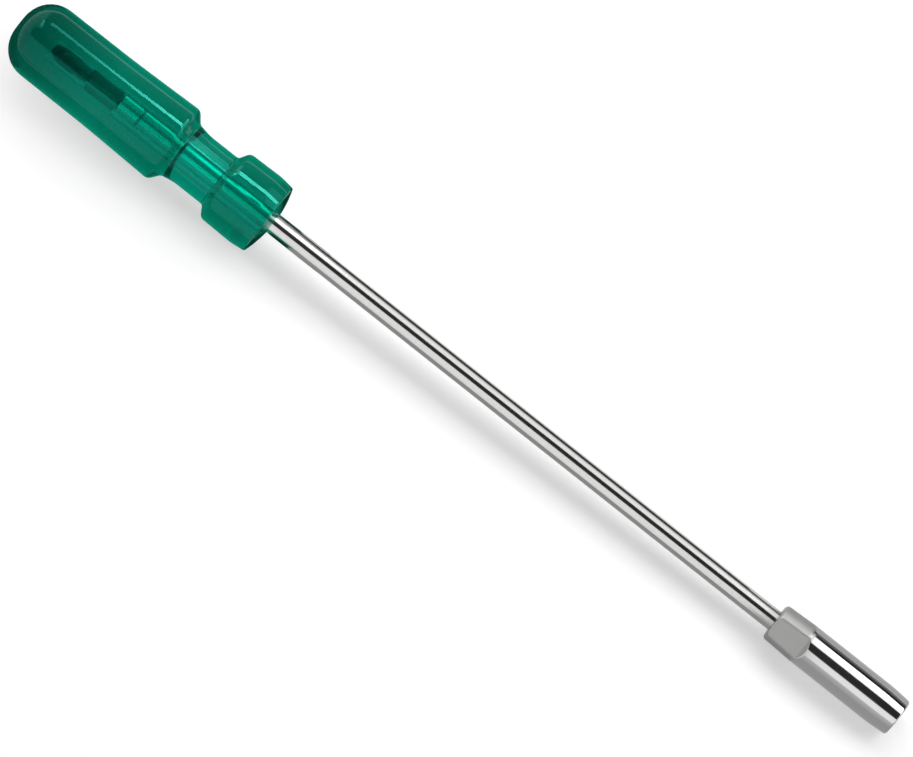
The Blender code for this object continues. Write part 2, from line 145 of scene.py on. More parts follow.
# Fineness
ARC_STEPS = 10
DOME_STEPS = 16
FLUTE_STEPS = 28
LAND_STEPS = 34
BAR_SIDES = 120
SOCKET_SIDES = 240
BIT_SIDES = 96
CROSS_STEPS = 40
SLOT_STEPS = 30
RUN_OUT_STEPS = 28
RING_STEPS = 72
WIRE_STEPS = 4
LONG_STEP = 1.5 * MM  # longest stretch between two sections of a tapered form
LEAST_COSINE = 0.02  # keeps a flat's section finite where it runs past the round
LEAST_FLAT_COSINE = 0.1

# The photograph: where the tool's middle lies in it, how it slants, and the direction that it is seen from
PHOTO_WIDTH, PHOTO_HEIGHT = 913, 757
PHOTO_MIDDLE = (458.9, 370.6)
PHOTO_SLANT = math.radians(38.4)
PHOTO_MM_PER_PIXEL = 0.3125
VIEW_ELEVATION = math.radians(74.4)
CAMERA_DISTANCE = 2.2
SENSOR_WIDTH = 36.0
VIEW_REACH = 100.0


# Meshes

def make_piece(name, shape, body, nodes, look, smooth_angle=35.0, roll=0.0):
    """Finish a mesh as a piece on the tool's axis that stands for CAD nodes."""
    bmesh.ops.recalc_face_normals(shape, faces=shape.faces)
    mesh = bpy.data.meshes.new(name)
    shape.to_mesh(mesh)
    shape.free()
    mesh.shade_smooth()
    mesh.set_sharp_from_angle(angle=math.radians(smooth_angle))
    mesh.materials.append(look)
    piece = bpy.data.objects.new(name, mesh)
    bpy.context.scene.collection.objects.link(piece)
    piece.location = (0.0, 0.0, AXIS_HEIGHT)
    piece.rotation_euler = (roll, 0.0, 0.0)
    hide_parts(*nodes)
    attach(piece, body)
    return piece


def skin(stations, angles, closed=False):
    """Skin a solid over (x, section) stations. A closed skin runs back into its first station."""
    shape = bmesh.new()
    rings = []
    for x, section in stations:
        ring = []
        for angle in angles:
            radius = section(angle)
            ring.append(shape.verts.new((x, -radius * math.sin(angle), radius * math.cos(angle))))
        rings.append(ring)
    for near, far in zip(rings, rings[1:] + rings[:1] if closed else rings[1:]):
        for k in range(len(angles)):
            shape.faces.new((near[k - 1], near[k], far[k], far[k - 1]))
    if not closed:
        shape.faces.new(rings[0])
        shape.faces.new(rings[-1])
    return shape


def even_angles(count):
    return [2 * math.pi * k / count for k in range(count)]


def round_section(radius):
    return lambda angle: radius


def hex_section(across_flats, turn=0.0):
    """A hexagon with a corner at the angle turn."""
    sector = math.pi / 3
    return lambda angle: across_flats / 2 / math.cos((angle - turn) % sector - sector / 2)


def soft_min(first, second, softness):
    """The smaller of two lengths, rounded where they cross."""
    overlap = max(softness - abs(first - second), 0.0) / softness
    return min(first, second) - overlap**2 * softness / 4


def turned(outline):
    return [(x, round_section(radius)) for x, radius in outline]


def arc_outline(corners):
    """Points along a polyline of (x, radius, fillet) corners, with each fillet as an arc."""
    points = []
    for index, (x, radius, fillet) in enumerate(corners):
        corner = Vector((x, radius))
        if fillet == 0.0:
            points.append(corner)
            continue
        before = (Vector(corners[index - 1][:2]) - corner).normalized()
        after = (Vector(corners[index + 1][:2]) - corner).normalized()
        half = before.angle(after) / 2
        centre = corner + (before + after).normalized() * (fillet / math.sin(half))
        start = (corner + before * (fillet / math.tan(half)) - centre).normalized()
        end = (corner + after * (fillet / math.tan(half)) - centre).normalized()
        for step in range(ARC_STEPS + 1):
            points.append(centre + start.slerp(end, step / ARC_STEPS) * fillet)
    return points


def refined(points):
    """The same line with long stretches split, so that soft edges can bend along it."""
    line = [points[0]]
    for near, far in zip(points, points[1:]):
        steps = max(1, math.ceil((far - near).length / LONG_STEP))
        line += [near.lerp(far, step / steps) for step in range(1, steps + 1)]
    return line


# Handle

def handle_outline():
    """The handle's side outline, back to front, before the flutes are sunk."""
    neck_start = GRIP_LENGTH + GRIP_SHOULDER_LENGTH
    shoulder_start = neck_start + NECK_LENGTH
    collar_start = shoulder_start + COLLAR_SHOULDER_LENGTH
    collar_front = collar_start + COLLAR_LENGTH
    bore = BAR_RADIUS + SLIDE_GAP
    mouth = bore + MOUTH_CHAMFER
    radii = np.linspace(COLLAR_FRONT_RADIUS, mouth, DOME_STEPS + 1)[1:]
    full_rise = 1 - (bore / COLLAR_FRONT_RADIUS) ** 2
    dome = [
        (collar_front + FRONT_DOME_HEIGHT * (1 - (r / COLLAR_FRONT_RADIUS) ** 2) / full_rise, r, 0.0)
        for r in radii
    ]
    corners = [
        (0.0, 0.0, 0.0),
        (0.0, GRIP_BACK_RADIUS, BACK_ROUND),
        (GRIP_FLARE_START, GRIP_FLARE_START_RADIUS, GRIP_FLARE_ROUND),
        (GRIP_LENGTH, GRIP_FRONT_RADIUS, GRIP_SHOULDER_ROUND),
        (neck_start, NECK_REAR_RADIUS, NECK_REAR_ROUND),
        (neck_start + NECK_REAR_TAPER_LENGTH, NECK_WAIST_RADIUS, NECK_LENGTH),
        (shoulder_start, NECK_WAIST_RADIUS, NECK_ROUND),
        (collar_start, COLLAR_REAR_RADIUS, COLLAR_SHOULDER_ROUND),
        (collar_front - COLLAR_FRONT_TAPER_LENGTH, COLLAR_RADIUS, COLLAR_LENGTH),
        (collar_front, COLLAR_FRONT_RADIUS, COLLAR_FRONT_ROUND),
        *dome,
    ]
    middle_of_neck = BACK + neck_start + NECK_LENGTH / 2
    return [Vector((BACK + x, r)) for x, r in refined(arc_outline(corners)[1:])], middle_of_neck


def grip_land(x):
    """The grip's radius between its flutes."""
    places = (BACK, BACK + GRIP_FLARE_START, BACK + GRIP_LENGTH)
    return np.interp(x, places, (GRIP_BACK_RADIUS, GRIP_FLARE_START_RADIUS, GRIP_FRONT_RADIUS))


def fluted_section(radius, brim):
    """A round cut back to the flutes, which narrow and end where the round falls below their brim."""
    pitch = 2 * math.pi / FLUTE_COUNT
    half_angle = math.asin(FLUTE_HALF_WIDTH / GRIP_FRONT_RADIUS)

    def section(angle):
        from_flute = (angle + pitch / 2) % pitch - pitch / 2
        across = abs(from_flute) / half_angle
        return soft_min(radius, brim - FLUTE_DEPTH * (1 - across**2), FLUTE_EDGE)

    return section


def flute_angles():
    """Angles round the handle, closer together across each flute than across a land."""
    pitch = 2 * math.pi / FLUTE_COUNT
    half = FLUTE_MARGIN * math.asin(FLUTE_HALF_WIDTH / GRIP_FRONT_RADIUS)
    angles = []
    for flute in range(FLUTE_COUNT):
        middle = flute * pitch
        angles += [middle + half * (2 * k / FLUTE_STEPS - 1) for k in range(FLUTE_STEPS)]
        angles += [middle + half + (pitch - 2 * half) * k / LAND_STEPS for k in range(LAND_STEPS)]
    return angles


def make_handle():
    outline, middle_of_neck = handle_outline()
    stations = []
    for x, radius in outline:
        brim = grip_land(x) if x < middle_of_neck else COLLAR_RADIUS
        stations.append((x, fluted_section(radius, brim)))
    bore = round_section(BAR_RADIUS + SLIDE_GAP)
    key = hex_section(BIT_HEX + 2 * SLIDE_GAP, BLADE_ROLL)
    tip = round_section(BIT_HEAD_RADIUS + SLIDE_GAP)
    key_end = BAR_LOW.x - BIT_HEX_LENGTH - TIP_GAP
    stations += [
        (outline[-1].x - MOUTH_CHAMFER, bore),
        (BAR_LOW.x - SEAT_GAP, bore),
        (BAR_LOW.x - SEAT_GAP, key),
        (key_end, key),
        (key_end, tip),
        (INNER_TIP - TIP_GAP, tip),
    ]
    shape = skin(stations, flute_angles())
    piece = make_piece("handle_moulding", shape, "handle", ["handle"], acetate())
    piece.visible_diffuse = False  # the floor's shadow stays grey, as in the photograph


# Blade

def bar_end(groove):
    """(depth, radius) points from a bit's hole, over the end face and in past the ring's groove."""
    hole = PEG_RADIUS + PRESS_GAP
    depth = PEG_LENGTH + SEAT_GAP
    low, high = groove
    floor = BAR_RADIUS + SLIDE_GAP - GROOVE_DEPTH
    return [
        (depth, hole),
        (0.0, hole),
        (0.0, BAR_RADIUS - BAR_CHAMFER),
        (BAR_CHAMFER, BAR_RADIUS),
        (low, BAR_RADIUS),
        (low, floor),
        (high, floor),
        (high, BAR_RADIUS),
    ]


def make_bar():
    inner_ring, outer_ring = RINGS["handle_end_ring"], RINGS["socket_end_ring"]
    inner = bar_end([inner_ring[0].x - SLIDE_GAP - BAR_LOW.x, inner_ring[1].x + SLIDE_GAP - BAR_LOW.x])
    outer = bar_end([BAR_HIGH.x - outer_ring[1].x - SLIDE_GAP, BAR_HIGH.x - outer_ring[0].x + SLIDE_GAP])
    outline = [(BAR_LOW.x + depth, radius) for depth, radius in inner]
    outline += [(BAR_HIGH.x - depth, radius) for depth, radius in reversed(outer)]
    shape = skin(turned(outline), even_angles(BAR_SIDES))
    make_piece("polished_bar", shape, "blade", ["blade_bar"], polished_chrome(),
               roll=BLADE_ROLL)


def bit_shank():
    """(reach, section) stations of a bit up to its head: peg, hexagon and slim neck."""
    peg, slim = round_section(PEG_RADIUS), round_section(BIT_NECK_RADIUS)
    head = round_section(BIT_HEAD_RADIUS)
    hexagon = hex_section(BIT_HEX)
    neck_start = BIT_HEX_LENGTH + BIT_NECK_TAPER
    neck_end = neck_start + BIT_NECK_LENGTH

    def eased(angle):
        return soft_min(hexagon(angle), BIT_HEX / 2 + HEX_EASE, BIT_EDGE)

    return [
        (-PEG_LENGTH, round_section(PEG_RADIUS - PEG_CHAMFER)),
        (PEG_CHAMFER - PEG_LENGTH, peg),
        (SEAT_GAP, peg),
        (SEAT_GAP, round_section(BIT_HEX / 2)),
        (SEAT_GAP + HEX_EASE, eased),
        (BIT_HEX_LENGTH - HEX_EASE, eased),
        (BIT_HEX_LENGTH, round_section(BIT_HEX / 2)),
        (neck_start, slim),
        (neck_end, slim),
        (neck_end + BIT_NECK_TAPER, head),
    ]


def cross_head():
    """Stations of the cross point: a cone with four V flutes."""
    cone_length = (BIT_HEAD_RADIUS - CROSS_POINT_RADIUS) / math.tan(CROSS_CONE)
    start = BIT_HEX_LENGTH + 2 * BIT_NECK_TAPER + BIT_NECK_LENGTH

    def section_at(reach):
        to_tip = BIT_REACH - reach
        cone = min(BIT_HEAD_RADIUS, CROSS_POINT_RADIUS + to_tip * math.tan(CROSS_CONE))
        foot = CROSS_FLUTE_FOOT + to_tip * math.tan(CROSS_FLUTE_SLOPE)

        def section(angle):
            across = (angle % (math.pi / 2)) - math.pi / 4
            opening = max(math.cos(across) - abs(math.sin(across)), LEAST_COSINE)
            return soft_min(cone, foot / opening, BIT_EDGE)

        return section

    steps = np.linspace(start, BIT_REACH, CROSS_STEPS)[1:]
    return [(reach, section_at(reach)) for reach in sorted([*steps, BIT_REACH - cone_length])]


def slotted_head():
    """Stations of the slotted tip: a round with two tapering flats."""
    start = BIT_HEX_LENGTH + 2 * BIT_NECK_TAPER + BIT_NECK_LENGTH

    def section_at(reach):
        half = SLOT_TIP_THICKNESS / 2 + (BIT_REACH - reach) * math.tan(SLOT_TAPER)

        def section(angle):
            flat = half / max(abs(math.cos(angle)), LEAST_COSINE)
            return soft_min(BIT_HEAD_RADIUS, flat, BIT_EDGE)

        return section

    return [(reach, section_at(reach)) for reach in np.linspace(start, BIT_REACH, SLOT_STEPS)[1:]]


def make_bits():
    for name, node, head, bar_face, way in (
        ("cross_point", "cross_bit", cross_head(), BAR_LOW.x, -1),
        ("slotted_point", "slotted_bit", slotted_head(), BAR_HIGH.x, 1),
    ):
        stations = [(bar_face + way * reach, section) for reach, section in bit_shank() + head]
        shape = skin(stations, even_angles(BIT_SIDES))
        look = blackened(name + "_steel")
        make_piece(name, shape, "blade", [node], look, roll=BLADE_ROLL)


def make_rings():
    look = spring_steel()
    for node, (low, high) in RINGS.items():
        radius = (high.y - low.y) / 2 - RING_WIRE_RADIUS
        wire = bpy.data.curves.new(node, "CURVE")
        wire.dimensions = "3D"
        wire.fill_mode = "FULL"
        wire.bevel_depth = RING_WIRE_RADIUS
        wire.bevel_resolution = WIRE_STEPS
        wire.use_fill_caps = True
        line = wire.splines.new("POLY")
        line.points.add(RING_STEPS)
        for step, point in enumerate(line.points):
            turn = (2 * math.pi - RING_SPLIT) * step / RING_STEPS
            angle = math.pi / 2 + RING_SPLIT / 2 + turn
            point.co = (0.0, -radius * math.sin(angle), radius * math.cos(angle), 1.0)
        wire.materials.append(look)
        ring = bpy.data.objects.new(node + "_wire", wire)
        bpy.context.scene.collection.objects.link(ring)
        ring.location = ((low.x + high.x) / 2, 0.0, AXIS_HEIGHT)
        ring.rotation_euler = (BLADE_ROLL, 0.0, 0.0)
        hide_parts(node)
        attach(ring, "blade")


# Nut socket

def flatted_section(radius, flat):
    """A round with two flats, flat away from the axis."""
    def section(angle):
        reach = flat / max(abs(math.cos(angle)), LEAST_FLAT_COSINE)
        return soft_min(radius, reach, SPANNER_EDGE)

    return section


def socket_outside():
    """Stations of the socket's outside, rear to front, with the spanner flats' 45 degree run-outs."""
    rear, front = SOCKET_LOW.x, SOCKET_HIGH.x
    flats_end = rear + SPANNER_LENGTH
    corners = [
        (rear, SOCKET_REAR_RADIUS - 2 * SOCKET_REAR_ROUND, 0.0),
        (rear, SOCKET_REAR_RADIUS, SOCKET_REAR_ROUND),
        (flats_end, SOCKET_RADIUS, SOCKET_TAPER_ROUND),
        (front - SOCKET_FRONT_TAPER_LENGTH, SOCKET_RADIUS, SOCKET_TAPER_ROUND),
        (front, SOCKET_FRONT_RADIUS, SOCKET_FRONT_ROUND),
        (front, SOCKET_FRONT_RADIUS - 2 * SOCKET_FRONT_ROUND, 0.0),
    ]
    places, radii = zip(*arc_outline(corners)[1:-1])
    run_out = SOCKET_RADIUS - SPANNER_WIDTH / 2
    splits = np.linspace(flats_end - RUN_OUT_MARGIN, flats_end + run_out + RUN_OUT_MARGIN, RUN_OUT_STEPS)
    line = [(x, r) for x, r in zip(places, radii) if not splits[0] < x < splits[-1]]
    line += [(x, np.interp(x, places, radii)) for x in splits]
    flat = SPANNER_WIDTH / 2
    line.sort(key=lambda point: point[0])
    return [(x, flatted_section(r, flat + max(0.0, x - flats_end))) for x, r in line]


def make_socket():
    rear, front = SOCKET_LOW.x, SOCKET_HIGH.x
    nut_corner = NUT_WIDTH / math.sqrt(3)
    pocket = round_section(NUT_WIDTH / 2 - NUT_LEDGE)
    nut = hex_section(NUT_WIDTH)
    tip = round_section(BIT_HEAD_RADIUS + SLIDE_GAP)
    key = hex_section(BIT_HEX + 2 * SLIDE_GAP)
    bore = round_section(BAR_RADIUS + SLIDE_GAP)
    key_end = BAR_HIGH.x + BIT_HEX_LENGTH + TIP_GAP
    inside = [
        (front, round_section(nut_corner + NUT_MOUTH_CHAMFER)),
        (front - NUT_MOUTH_CHAMFER, nut),
        (MAGNET_HIGH.x, nut),
        (MAGNET_HIGH.x, pocket),
        (OUTER_TIP + TIP_GAP, pocket),
        (OUTER_TIP + TIP_GAP, tip),
        (key_end, tip),
        (key_end, key),
        (BAR_HIGH.x + SEAT_GAP, key),
        (BAR_HIGH.x + SEAT_GAP, bore),
        (rear + MOUTH_CHAMFER, bore),
        (rear, round_section(BAR_RADIUS + SLIDE_GAP + MOUTH_CHAMFER)),
    ]
    shape = skin(socket_outside() + inside, even_angles(SOCKET_SIDES), closed=True)
    make_piece("chrome_socket", shape, "socket", ["nut_socket"], socket_chrome(),
               roll=BLADE_ROLL)


def make_magnet():
    low, high = MAGNET_LOW.x, MAGNET_HIGH.x
    outline = [
        (low, MAGNET_RADIUS - MAGNET_CHAMFER),
        (low + MAGNET_CHAMFER, MAGNET_RADIUS),
        (high - MAGNET_CHAMFER, MAGNET_RADIUS),
        (high, MAGNET_RADIUS - MAGNET_CHAMFER),
    ]
    shape = skin(turned(outline), even_angles(BIT_SIDES))
    make_piece("magnet_disc", shape, "socket", ["socket_magnet"], nickel(),
               roll=BLADE_ROLL)


# Materials

NOISE_LOW, NOISE_HIGH = 0.3, 0.7  # the range that most of a noise lies in


def new_material(name):
    made = bpy.data.materials.new(name)
    made.use_nodes = True
    return made, made.node_tree.nodes, made.node_tree.links


def noise(nodes, links, scale, stretch=(1.0, 1.0, 1.0), detail=4.0):
    """A noise's Fac over object coordinates, in cells to a metre, stretched along the axes."""
    place = nodes.new("ShaderNodeTexCoord")
    mapping = nodes.new("ShaderNodeMapping")
    mapping.inputs["Scale"].default_value = stretch
    texture = nodes.new("ShaderNodeTexNoise")
    texture.inputs["Scale"].default_value = scale
    texture.inputs["Detail"].default_value = detail
    links.new(place.outputs["Object"], mapping.inputs["Vector"])
    links.new(mapping.outputs["Vector"], texture.inputs["Vector"])
    return texture.outputs["Fac"]


def ranged(nodes, links, value, low, high):
    """Map a noise's middle range to low and high."""
    made = nodes.new("ShaderNodeMapRange")
    made.inputs["From Min"].default_value = NOISE_LOW
    made.inputs["From Max"].default_value = NOISE_HIGH
    made.inputs["To Min"].default_value = low
    made.inputs["To Max"].default_value = high
    links.new(value, made.inputs["Value"])
    return made.outputs["Result"]


def colour_between(nodes, links, value, first, second):
    made = nodes.new("ShaderNodeMix")
    made.data_type = "RGBA"
    made.inputs["A"].default_value = (*first, 1.0)
    made.inputs["B"].default_value = (*second, 1.0)
    links.new(value, made.inputs["Factor"])
    return made.outputs["Result"]


def blend(nodes, links, factor, first, second, kind):
    """Mix two outputs of a kind, FLOAT or RGBA."""
    made = nodes.new("ShaderNodeMix")
    made.data_type = kind
    for value, name in ((factor, "Factor"), (first, "A"), (second, "B")):
        links.new(value, next(s for s in made.inputs if s.name == name and s.enabled))
    return next(s for s in made.outputs if s.enabled)


def bump(nodes, links, height, distance):
    made = nodes.new("ShaderNodeBump")
    made.inputs["Distance"].default_value = distance
    links.new(height, made.inputs["Height"])
    return made.outputs["Normal"]


def worn_edges(nodes, links, start, full):
    """From 0 to 1 along a mesh's sharp edges, broken up by a noise."""
    shape = nodes.new("ShaderNodeNewGeometry")
    edge = nodes.new("ShaderNodeMapRange")
    edge.inputs["From Min"].default_value = start
    edge.inputs["From Max"].default_value = full
    links.new(shape.outputs["Pointiness"], edge.inputs["Value"])
    broken = ranged(nodes, links, noise(nodes, links, 900.0), 0.3, 1.0)
    return math_of(nodes, links, "MULTIPLY", edge.outputs["Result"], broken)


def along_axis(nodes, links, start, end):
    """From 0 at one place along the tool to 1 at another."""
    place = nodes.new("ShaderNodeTexCoord")
    axes = nodes.new("ShaderNodeSeparateXYZ")
    links.new(place.outputs["Object"], axes.inputs["Vector"])
    made = nodes.new("ShaderNodeMapRange")
    made.inputs["From Min"].default_value = start
    made.inputs["From Max"].default_value = end
    links.new(axes.outputs["X"], made.inputs["Value"])
    return made.outputs["Result"]


def from_axis(nodes, links, start, end):
    """From 0 at one distance from the tool's axis to 1 at another."""
    place = nodes.new("ShaderNodeTexCoord")
    across = nodes.new("ShaderNodeVectorMath")
    across.operation = "MULTIPLY"
    across.inputs[1].default_value = (0.0, 1.0, 1.0)
    links.new(place.outputs["Object"], across.inputs[0])
    distance = nodes.new("ShaderNodeVectorMath")
    distance.operation = "LENGTH"
    links.new(across.outputs["Vector"], distance.inputs[0])
    made = nodes.new("ShaderNodeMapRange")
    made.inputs["From Min"].default_value = start
    made.inputs["From Max"].default_value = end
    links.new(distance.outputs["Value"], made.inputs["Value"])
    return made.outputs["Result"]


def math_of(nodes, links, operation, first, second):
    made = nodes.new("ShaderNodeMath")
    made.operation = operation
    links.new(first, made.inputs[0])
    links.new(second, made.inputs[1])
    return made.outputs[0]


def constant(nodes, value):
    made = nodes.new("ShaderNodeValue")
    made.outputs[0].default_value = value
    return made.outputs[0]


def acetate():
    """Clear green plastic, a little cloudy, darker in the back as painted shade, with a bore wall that is
    nearly clear.
    """
    made, nodes, links = new_material("green_acetate")
    shader = nodes["Principled BSDF"]
    clouds = noise(nodes, links, 70.0)
    clear = colour_between(nodes, links, clouds, (0.001, 0.38, 0.285), (0.003, 0.42, 0.315))
    # painted shade: the green darkens towards the back end, where the shaded floor shows through
    back_shade_green = colour_between(nodes, links, clouds, (0.001, 0.12, 0.092), (0.001, 0.14, 0.107))
    back = along_axis(nodes, links, BACK + 34.0 * MM, BACK + 4.0 * MM)
    green = blend(nodes, links, back, clear, back_shade_green, "RGBA")
    bare = colour_between(nodes, links, clouds, (0.86, 0.95, 0.92), (0.9, 0.97, 0.95))
    wall = from_axis(nodes, links, BAR_RADIUS + 0.7 * MM, BAR_RADIUS + 1.2 * MM)
    links.new(blend(nodes, links, wall, bare, green, "RGBA"), shader.inputs["Base Color"])
    polish = ranged(nodes, links, noise(nodes, links, 400.0), 0.02, 0.05)
    scuffed = worn_edges(nodes, links, 0.54, 0.62)
    roughness = blend(nodes, links, scuffed, polish, constant(nodes, 0.14), "FLOAT")
    links.new(roughness, shader.inputs["Roughness"])
    waves = noise(nodes, links, 150.0, (0.2, 1.0, 1.0))
    links.new(bump(nodes, links, waves, 0.02 * MM), shader.inputs["Normal"])
    shader.inputs["Transmission Weight"].default_value = 0.94
    shader.inputs["IOR"].default_value = 1.48
    shader.inputs["Specular Tint"].default_value = (0.06, 0.85, 0.7, 1.0)
    inside = nodes.new("ShaderNodeVolumeAbsorption")
    inside.inputs["Color"].default_value = (0.0, 0.71, 0.635, 1.0)
    inside.inputs["Density"].default_value = 120.0
    links.new(inside.outputs["Volume"], nodes["Material Output"].inputs["Volume"])
    return made


def chrome(name, low, high):
    """Chromed steel with faint streaks along the axis, between two roughnesses, and duller edges."""
    made, nodes, links = new_material(name)
    shader = nodes["Principled BSDF"]
    shader.inputs["Metallic"].default_value = 1.0
    streaks = noise(nodes, links, 900.0, (0.02, 1.0, 1.0))
    rubbed = worn_edges(nodes, links, 0.53, 0.6)
    bright = colour_between(nodes, links, streaks, (0.50, 0.5, 0.497), (0.55, 0.55, 0.547))
    dull = colour_between(nodes, links, streaks, (0.42, 0.415, 0.4), (0.48, 0.475, 0.46))
    colour = blend(nodes, links, rubbed, bright, dull, "RGBA")
    polish = ranged(nodes, links, streaks, low, high)
    roughness = blend(nodes, links, rubbed, polish, constant(nodes, 0.2), "FLOAT")
    links.new(bump(nodes, links, streaks, 0.001 * MM), shader.inputs["Normal"])
    return made, nodes, links, colour, roughness


def polished_chrome():
    """Chrome, brighter where the handle covers it, as a painted highlight on the bar seen through the
    plastic.
    """
    made, nodes, links, colour, roughness = chrome("polished_chrome", 0.05, 0.1)
    shader = nodes["Principled BSDF"]
    # painted highlight: a brighter chrome colour where the handle covers the bar
    covered_highlight = along_axis(nodes, links, HANDLE_HIGH.x, HANDLE_HIGH.x - 12.0 * MM)
    cells = noise(nodes, links, 600.0)
    bright = colour_between(nodes, links, cells, (0.64, 0.64, 0.635), (0.7, 0.7, 0.695))
    links.new(blend(nodes, links, covered_highlight, colour, bright, "RGBA"), shader.inputs["Base Color"])
    links.new(roughness, shader.inputs["Roughness"])
    return made


def socket_chrome():
    """Chrome that is rougher on the milled rear, with the spanner flats and their run-outs, and greyer
    there as painted shade.
    """
    made, nodes, links, colour, roughness = chrome("socket_chrome", 0.07, 0.12)
    shader = nodes["Principled BSDF"]
    flats_end = SOCKET_LOW.x + SPANNER_LENGTH
    # the milled rear and the flats' run-outs get a rougher finish of their own and a greyer colour, which
    # is painted shade and over the run-outs also hides their highlight
    rear = along_axis(nodes, links, flats_end + 0.3 * MM, flats_end - 1.2 * MM)
    cut = from_axis(nodes, links, SOCKET_RADIUS - 0.02 * MM, SOCKET_RADIUS - 0.06 * MM)
    near = along_axis(nodes, links, flats_end + 3.0 * MM, flats_end + 2.5 * MM)
    run_out = math_of(nodes, links, "MULTIPLY", cut, near)
    milled = math_of(nodes, links, "MAXIMUM", rear, run_out)
    grain = noise(nodes, links, 2500.0, (0.3, 1.0, 1.0))
    # painted shade: a greyer chrome colour on the milled rear, with real grain
    satin_and_shade = colour_between(nodes, links, grain, (0.34, 0.34, 0.337), (0.39, 0.39, 0.385))
    matt = ranged(nodes, links, grain, 0.5, 0.58)
    links.new(blend(nodes, links, milled, colour, satin_and_shade, "RGBA"), shader.inputs["Base Color"])
    links.new(blend(nodes, links, milled, roughness, matt, "FLOAT"), shader.inputs["Roughness"])
    return made


def blackened(name):
    """Black oxide, rubbed through to steel along the edges."""
    made, nodes, links = new_material(name)
    shader = nodes["Principled BSDF"]
    patches = noise(nodes, links, 500.0)
    rubbed = worn_edges(nodes, links, 0.52, 0.58)
    black = colour_between(nodes, links, patches, (0.07, 0.068, 0.067), (0.12, 0.118, 0.115))
    steel = colour_between(nodes, links, patches, (0.24, 0.24, 0.235), (0.34, 0.34, 0.33))
    links.new(blend(nodes, links, rubbed, black, steel, "RGBA"), shader.inputs["Base Color"])
    dull = ranged(nodes, links, patches, 0.35, 0.5)
    roughness = blend(nodes, links, rubbed, dull, constant(nodes, 0.28), "FLOAT")
    links.new(roughness, shader.inputs["Roughness"])
    links.new(bump(nodes, links, noise(nodes, links, 3000.0), 0.004 * MM), shader.inputs["Normal"])
    shader.inputs["Metallic"].default_value = 1.0
    return made


def spring_steel():
    """Drawn wire with fine lines round the ring."""
    made, nodes, links = new_material("spring_wire")
    shader = nodes["Principled BSDF"]
    drawn = noise(nodes, links, 4000.0, (1.0, 0.1, 0.1))
    links.new(colour_between(nodes, links, drawn, (0.40, 0.40, 0.41), (0.50, 0.50, 0.51)),
              shader.inputs["Base Color"])
    links.new(ranged(nodes, links, drawn, 0.22, 0.35), shader.inputs["Roughness"])
    links.new(bump(nodes, links, drawn, 0.003 * MM), shader.inputs["Normal"])
    shader.inputs["Metallic"].default_value = 1.0
    return made


def nickel():
    """Nickel plating, scratched by screws across its face and rubbed at its rim."""
    made, nodes, links = new_material("nickel_plate")
    shader = nodes["Principled BSDF"]
    scratches = noise(nodes, links, 1800.0, (1.0, 0.12, 1.0))
    rubbed = worn_edges(nodes, links, 0.52, 0.58)
    plating = colour_between(nodes, links, scratches, (0.45, 0.44, 0.42), (0.55, 0.54, 0.52))
    bare = colour_between(nodes, links, scratches, (0.56, 0.56, 0.56), (0.62, 0.62, 0.62))
    links.new(blend(nodes, links, rubbed, plating, bare, "RGBA"), shader.inputs["Base Color"])
    links.new(ranged(nodes, links, scratches, 0.2, 0.38), shader.inputs["Roughness"])
    links.new(bump(nodes, links, scratches, 0.004 * MM), shader.inputs["Normal"])
    shader.inputs["Metallic"].default_value = 1.0
    return made


# Stage, light and camera

VIEW = Vector((0.0, -math.cos(VIEW_ELEVATION), math.sin(VIEW_ELEVATION)))  # from the tool to the camera
UPHILL = Vector((0.0, math.sin(VIEW_ELEVATION), math.cos(VIEW_ELEVATION)))  # across the tool in the picture


def resting_line():
    """The two (x, z) points that the tool rests on, one under the handle and one under the socket."""
    def low_points(node):
        return [(v.co.x, v.co.z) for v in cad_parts[node].data.vertices]

    handle, socket = low_points("handle"), low_points("nut_socket")
    rear = min(handle, key=lambda p: p[1])
    for _ in range(4):
        front = min(socket, key=lambda p: (p[1] - rear[1]) / (p[0] - rear[0]))
        rear = max(handle, key=lambda p: (front[1] - p[1]) / (front[0] - p[0]))
    return rear, front


RESTING = resting_line()
FLOOR_REACH = 6.0
FLOOR_GLOW = 0.35  # lifts the lit floor to white in the picture, without lighting the tool
WORLD_LIGHT = 0.25
FAR_CARDS = 1.0  # distances of the hung cards from the axis
SIDE_CARD = 0.2
FLAT_CARDS = 0.25
GAP_CARD = 0.13
CORE_CARDS = 0.11
GLINT_CARDS = 0.1
NECK_CARDS = 0.03
SPREAD = 1 + FAR_CARDS / CAMERA_DISTANCE  # how far reflections spread along the tool in the far cards
STAGE_END = 2.0
FLOOR_CARD_END = 0.8
FAR_BAR_END = -0.1
GREEN_END = -0.055  # front end of the cards over the handle
CARD_LIFT = 0.5 * MM
SHADE_LIFT = 1 * MM
SHADE_END = HANDLE_HIGH.x + 8 * MM  # where the handle's own light on the floor ends
LOW_CARD_Y = 45 * MM
LOW_CARD_HEIGHT = 18 * MM
WHITE = (1.0, 1.0, 1.0)
# painted light and painted shade that the handle throws on the floor, on cards that only reflections show
FLOOR_GREEN_LIGHT = (0.016, 0.46, 0.31)
FLOOR_SHADE = (0.002, 0.05, 0.036)
LAMP_DISTANCE = 1.2
LAMP_LENGTH = 3.0


def seen_plainly(nodes, links):
    """1 for rays that show the background: from the camera, a reflection or through the plastic."""
    path = nodes.new("ShaderNodeLightPath")
    first = math_of(nodes, links, "MAXIMUM", path.outputs["Is Camera Ray"], path.outputs["Is Glossy Ray"])
    return math_of(nodes, links, "MAXIMUM", first, path.outputs["Is Transmission Ray"])


def floor_height(x):
    """The floor's height: along the tool's two resting points, and level beyond the socket."""
    (rear_x, rear_z), (front_x, front_z) = RESTING
    return rear_z + (front_z - rear_z) * (min(x, front_x) - rear_x) / (front_x - rear_x)


